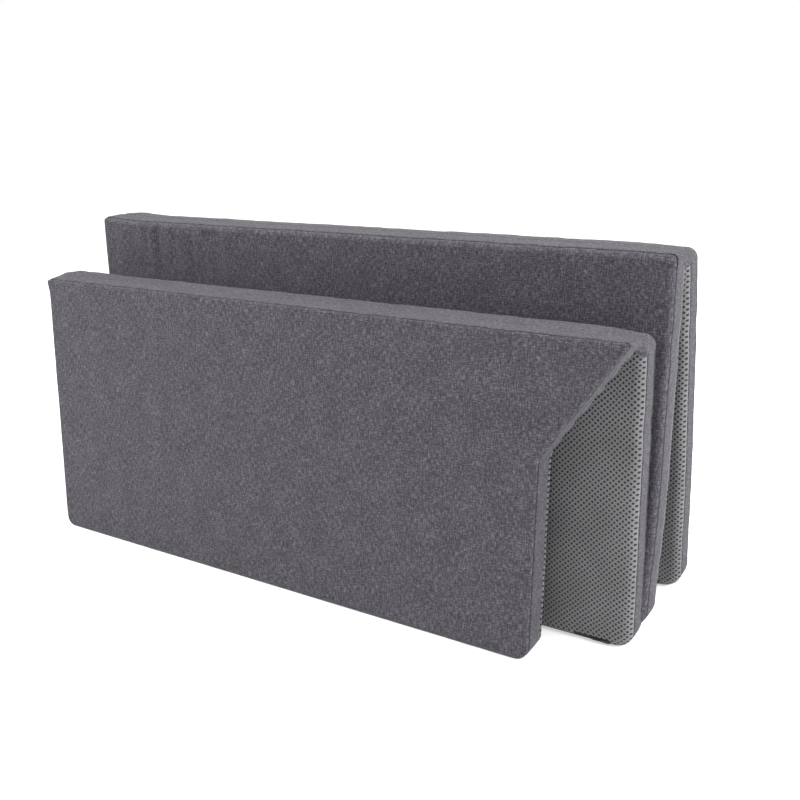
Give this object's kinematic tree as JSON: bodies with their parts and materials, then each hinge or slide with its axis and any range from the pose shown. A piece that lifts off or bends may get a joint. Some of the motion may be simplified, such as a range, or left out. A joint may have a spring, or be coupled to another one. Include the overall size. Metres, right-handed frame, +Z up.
{
  "type": "folding foam mattress",
  "caption": "Fold-out foam mattress with a cut corner, folded in an accordion and stood on its long edges.",
  "frame": {"origin": "middle of the footprint, at floor level, with the mattress folded and standing as stored", "axes": "+X along the folds towards the cut corner, +Y from the front panel to the rear panel, +Z up"},
  "size_m": [1.058, 0.3398, 0.5479],
  "materials": {
    "woven_cloth": "charcoal melange weave",
    "dotted_cloth": "grey anti-slip cloth with small dark dots",
    "foam": "open-cell polyurethane foam",
    "zip_tape": "black woven tape with a nylon coil",
    "zip_metal": "black lacquer",
    "fold_tape": "dark woven tape"
  },
  "bodies": {
    "panel_2": {"foam_core_2": "foam", "top_cover_2": "woven_cloth", "boxing_2": "woven_cloth", "base_cover_2": "dotted_cloth", "zip_2": "zip_tape", "zip_slider_2": "zip_metal", "front_fold_tape": "fold_tape", "middle_fold_tape": "fold_tape"},
    "panel_1": {"foam_core_1": "foam", "top_cover_1": "woven_cloth", "boxing_1": "woven_cloth", "base_cover_1": "dotted_cloth", "zip_1": "zip_tape", "zip_slider_1": "zip_metal"},
    "panel_3": {"foam_core_3": "foam", "top_cover_3": "woven_cloth", "boxing_3": "woven_cloth", "base_cover_3": "dotted_cloth", "zip_3": "zip_tape", "zip_slider_3": "zip_metal", "rear_fold_tape": "fold_tape"},
    "panel_4": {"foam_core_4": "foam", "top_cover_4": "woven_cloth", "boxing_4": "woven_cloth", "base_cover_4": "dotted_cloth", "zip_4": "zip_tape", "zip_slider_4": "zip_metal"}
  },
  "joints": [
    {"name": "front_fold", "type": "hinge", "parent": "panel_2", "child": "panel_1", "pos_m": [0, -0.07808, 0.4525], "axis": [-1, 0, 0], "range_deg": [-5.4, 174.6]},
    {"name": "middle_fold", "type": "hinge", "parent": "panel_2", "child": "panel_3", "pos_m": [0, -0.02707, -0.0003], "axis": [-1, 0, 0], "range_deg": [-3.4, 176.6]},
    {"name": "rear_fold", "type": "hinge", "parent": "panel_3", "child": "panel_4", "pos_m": [0, 0.05626, 0.54251], "axis": [1, 0, 0], "range_deg": [-10.18, 169.82]}
  ]
}
